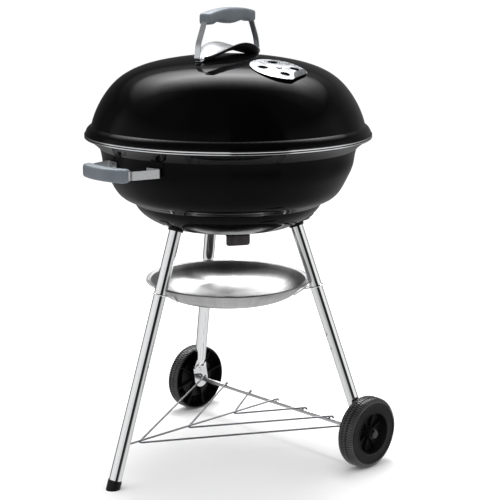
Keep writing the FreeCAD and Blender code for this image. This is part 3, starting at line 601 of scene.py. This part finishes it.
def spread(tree, value, low, high):
    """Stretch a noise value of about 0.3 to 0.7 to run from low to high."""
    node = tree.nodes.new("ShaderNodeMapRange")
    node.inputs["From Min"].default_value = 0.3
    node.inputs["From Max"].default_value = 0.7
    node.inputs["To Min"].default_value = low
    node.inputs["To Max"].default_value = high
    tree.links.new(value, node.inputs["Value"])
    return node.outputs["Result"]


def two_tones(tree, value, dark, light):
    """A blend from dark to light by value; dark may come from another node."""
    node = tree.nodes.new("ShaderNodeMix")
    node.data_type = "RGBA"
    join(tree, (*dark, 1.0) if isinstance(dark, tuple) else dark, node.inputs["A"])
    node.inputs["B"].default_value = (*light, 1.0)
    tree.links.new(value, node.inputs["Factor"])
    return node.outputs["Result"]


def bumped(tree, surface, value, strength, distance):
    node = tree.nodes.new("ShaderNodeBump")
    node.inputs["Strength"].default_value = strength
    node.inputs["Distance"].default_value = distance
    tree.links.new(value, node.inputs["Height"])
    tree.links.new(node.outputs["Normal"], surface.inputs["Normal"])


def painted_highlight_line(tree, height):
    """1 on a thin line round the outside of the rolled edge, where a bright metal strip is painted in as the
    edge's highlight, else 0.
    """
    outer = number_maths(tree, "GREATER_THAN", axis_distance(tree), RIM_R - 2 * HIGHLIGHT_LINE_HALF * MM)
    away = number_maths(tree, "SUBTRACT", height_of(tree, object_place(tree)), height)
    near = number_maths(tree, "LESS_THAN", number_maths(tree, "ABSOLUTE", away), HIGHLIGHT_LINE_HALF * MM)
    return number_maths(tree, "MULTIPLY", outer, near)


def enamel_material(name, highlight_height):
    """Porcelain enamel, deep black with a faint ripple, and a painted highlight on the rolled edge: a thin
    bright metal line that stands in for the glint of the enamel bead.
    """
    material, tree, surface = shader(name, level=ENAMEL_LEVEL)
    place = stretched(tree)
    # Painted highlight: a bright metal line on the rolled edge copies the glint of the enamel bead.
    highlight_strip = painted_highlight_line(tree, highlight_height)
    broad = spread(tree, noise(tree, place, scale=6.0), 0.0, 1.0)
    black = two_tones(tree, broad, (0.0008, 0.0007, 0.0008), (0.0022, 0.0020, 0.0022))
    tree.links.new(two_tones(tree, highlight_strip, black, (0.8, 0.81, 0.83)), surface.inputs["Base Color"])
    tree.links.new(highlight_strip, surface.inputs["Metallic"])
    tree.links.new(spread(tree, noise(tree, place, scale=40.0), 0.03, 0.08), surface.inputs["Roughness"])
    bumped(tree, surface, noise(tree, place, scale=110.0, detail=2.0), strength=0.05, distance=0.0004)
    return material


def chrome_material():
    """Bright plating with the faint lengthwise lines of a drawn tube."""
    material, tree, surface = shader("chrome", metallic=1.0)
    lines = noise(tree, stretched(tree, (1.0, 1.0, 0.04)), scale=900.0, detail=3.0)
    colour = two_tones(tree, lines, (0.78, 0.79, 0.80), (0.90, 0.90, 0.91))
    tree.links.new(colour, surface.inputs["Base Color"])
    broad = noise(tree, stretched(tree), scale=25.0)
    tree.links.new(spread(tree, broad, 0.02, 0.07), surface.inputs["Roughness"])
    bumped(tree, surface, lines, strength=0.03, distance=0.0002)
    return material


def pan_material():
    """Spun aluminium: fine rings in the grain and bump that spread its highlights into rays, and lighter and
    darker rays round the axis painted into the colour as a painted reflection of those radiating highlights.
    """
    material, tree, surface = shader("aluminium", metallic=1.0)
    rings = noise(tree, polar_place(tree, around=2.0, outward=900.0), scale=1.0, rough=0.65)
    # Painted highlight: lighter and darker rays round the axis, set into the base colour.
    highlight_rays = noise(tree, polar_place(tree, around=9.0, outward=4.0), scale=1.0, detail=3.0, rough=0.6)
    ray_highlight_colour = two_tones(tree, spread(tree, highlight_rays, 0.0, 1.0), (0.40, 0.40, 0.405), (0.54, 0.54, 0.54))
    colour = two_tones(tree, number_maths(tree, "MULTIPLY", rings, rings), ray_highlight_colour, (0.24, 0.24, 0.245))
    tree.links.new(colour, surface.inputs["Base Color"])
    tree.links.new(spread(tree, rings, 0.28, 0.40), surface.inputs["Roughness"])
    surface.inputs["Anisotropic"].default_value = 0.65
    grain = tree.nodes.new("ShaderNodeTangent")
    grain.direction_type = "RADIAL"
    grain.axis = "Z"
    tree.links.new(grain.outputs["Tangent"], surface.inputs["Tangent"])
    bumped(tree, surface, rings, strength=0.08, distance=0.0002)
    return material


def damper_material(name, dark, light):
    """Pressed sheet, cross-brushed and cloudy."""
    material, tree, surface = shader(name, metallic=1.0)
    place = stretched(tree)
    cloud = spread(tree, noise(tree, place, scale=90.0, detail=5.0, rough=0.6), 0.0, 1.0)
    tree.links.new(two_tones(tree, cloud, dark, light), surface.inputs["Base Color"])
    tree.links.new(spread(tree, noise(tree, place, scale=60.0), 0.22, 0.36), surface.inputs["Roughness"])
    grain = noise(tree, stretched(tree, (40.0, 900.0, 900.0)), scale=1.0, detail=3.0, rough=0.6)
    bumped(tree, surface, grain, strength=0.15, distance=0.0002)
    return material


def strap_material(name, dark, light):
    """Satin strip with a fine brushed grain."""
    material, tree, surface = shader(name, metallic=1.0)
    grain = noise(tree, stretched(tree, (60.0, 60.0, 1200.0)), scale=1.0, detail=3.0, rough=0.6)
    tree.links.new(two_tones(tree, grain, dark, light), surface.inputs["Base Color"])
    tree.links.new(spread(tree, grain, 0.26, 0.40), surface.inputs["Roughness"])
    bumped(tree, surface, grain, strength=0.1, distance=0.0002)
    return material


def plastic_material(name, tones, level, grain_scale, roughness, grain_strength):
    """Moulded plastic with a fine spark-eroded grain."""
    material, tree, surface = shader(name, level=level)
    place = stretched(tree)
    grain = noise(tree, place, grain_scale, detail=3.0, rough=0.6)
    broad = spread(tree, noise(tree, place, scale=30.0), 0.0, 1.0)
    tree.links.new(two_tones(tree, broad, *tones), surface.inputs["Base Color"])
    tree.links.new(spread(tree, grain, *roughness), surface.inputs["Roughness"])
    bumped(tree, surface, grain, grain_strength, distance=0.0003)
    return material


def wire_material(name, dark, light, roughness):
    """Plated rod, a little duller than the tubes."""
    material, tree, surface = shader(name, metallic=1.0)
    cloud = noise(tree, stretched(tree), scale=120.0)
    tree.links.new(two_tones(tree, cloud, dark, light), surface.inputs["Base Color"])
    tree.links.new(spread(tree, cloud, *roughness), surface.inputs["Roughness"])
    bumped(tree, surface, noise(tree, stretched(tree), scale=700.0), strength=0.1, distance=0.0002)
    return material


def floor_material():
    """Plain pale studio floor with the slightest mottle."""
    material, tree, surface = shader("floor", level=0.1)
    surface.inputs["Roughness"].default_value = 0.9
    cloud = noise(tree, stretched(tree), scale=3.0)
    colour = two_tones(tree, cloud, (0.90, 0.90, 0.90), (0.94, 0.94, 0.94))
    tree.links.new(colour, surface.inputs["Base Color"])
    return material


GREY_TONES = ((0.095, 0.112, 0.128), (0.118, 0.136, 0.152))
BLACK_TONES = ((0.004, 0.004, 0.004), (0.009, 0.009, 0.009))
# Painted highlight: the tread tones are lighter than the rest of the wheel's black plastic, standing in for
# the light its blocks catch.
LIT_TREAD_TONES = ((0.030, 0.030, 0.031), (0.046, 0.046, 0.047))


def make_plastics():
    return {
        "grip_plastic": plastic_material("grip_plastic", GREY_TONES, level=0.4, grain_scale=1500.0,
                                         roughness=(0.38, 0.52), grain_strength=0.25),
        "lit_tread_plastic": plastic_material("lit_tread_plastic", LIT_TREAD_TONES, level=0.7, grain_scale=1100.0,
                                          roughness=(0.30, 0.42), grain_strength=0.15),
        "cap_plastic": plastic_material("cap_plastic", BLACK_TONES, level=0.6, grain_scale=1100.0,
                                        roughness=(0.12, 0.20), grain_strength=0.05),
        "black_plastic": plastic_material("black_plastic", BLACK_TONES, level=0.14, grain_scale=1100.0,
                                          roughness=(0.28, 0.40), grain_strength=0.15),
    }


def make_metals():
    return {
        "lid_enamel": enamel_material("lid_enamel", LID_BEAD_Z - HIGHLIGHT_LINE_LEAN * MM),
        "bowl_enamel": enamel_material("bowl_enamel", BOWL_BEAD_Z + HIGHLIGHT_LINE_LEAN * MM),
        "chrome": chrome_material(),
        "aluminium": pan_material(),
        "strap_steel": strap_material("strap_steel", (0.60, 0.61, 0.62), (0.80, 0.81, 0.82)),
        "lid_strap": strap_material("lid_strap", (0.52, 0.54, 0.56), (0.72, 0.74, 0.76)),
        "shield_steel": strap_material("shield_steel", (0.34, 0.35, 0.36), (0.50, 0.51, 0.52)),
        "lid_damper_steel": damper_material("lid_damper_steel", (0.22, 0.23, 0.25), (0.52, 0.53, 0.55)),
        # Painted shade: the ash damper is the same pressed sheet as the lid damper, given darker tones for
        # the shade under the bowl.
        "shaded_ash_damper_steel": damper_material("shaded_ash_damper_steel", (0.15, 0.14, 0.14), (0.24, 0.22, 0.22)),
        "grate_steel": wire_material("grate_steel", (0.42, 0.42, 0.43), (0.68, 0.68, 0.69), (0.18, 0.34)),
        "axle_steel": wire_material("axle_steel", (0.40, 0.40, 0.41), (0.56, 0.56, 0.57), (0.32, 0.46)),
        "rack_wire": wire_material("rack_wire", (0.16, 0.16, 0.17), (0.28, 0.28, 0.29), (0.34, 0.48)),
    }


# ---- finishes of the CAD nodes ----

FINISHES = {
    "lid_enamel": ("lid_shell",),
    "bowl_enamel": ("bowl",),
    "chrome": ("leg_front", "leg_left", "leg_right", "pan_clip_front", "pan_clip_left", "pan_clip_right",
               "lid_handle_bolts", "lid_handle_nuts", "side_handle_bolts", "socket_rivets"),
    "rack_wire": ("bottom_rack",),
    "axle_steel": ("axle",),
    "aluminium": ("ash_pan",),
    "strap_steel": ("side_handle_bracket",),
    "shield_steel": ("heat_shield",),
    "lid_strap": ("lid_handle_bracket",),
    "grip_plastic": ("side_handle_grip", "lid_handle_grip"),
    "black_plastic": ("leg_socket_front", "leg_socket_left", "leg_socket_right", "foot_cap",
                      "wheel_left", "wheel_right"),
    "cap_plastic": ("axle_caps",),
    "lid_damper_steel": ("lid_damper_disc", "lid_damper_rivet"),
    "shaded_ash_damper_steel": ("ash_damper_disc", "ash_damper_rivet"),
    "grate_steel": ("charcoal_grate", "cooking_grate", "charcoal_grate_brackets", "cooking_grate_brackets"),
}


def finish_cad_nodes(materials):
    for finish, names in FINISHES.items():
        for name in names:
            for slot in NODES[name].material_slots:
                slot.material = materials[finish]


bpy.context.scene.view_settings.view_transform = "Standard"
make_camera()
make_world()
make_lamp()
make_floor()
MATERIALS = make_metals() | make_plastics()
finish_cad_nodes(MATERIALS)
make_wheel("wheel_right", 1, MATERIALS)
make_wheel("wheel_left", -1, MATERIALS)
make_bar("lid_grip", "lid", MATERIALS["grip_plastic"], lid_grip_section, "lid_handle_grip")
make_bar("side_grip", "stand", MATERIALS["grip_plastic"], side_grip_section, "side_handle_grip")
make_bead("lid_edge", LID_BEAD_Z, "lid", MATERIALS["lid_enamel"])
make_bead("bowl_edge", BOWL_BEAD_Z, "stand", MATERIALS["bowl_enamel"])
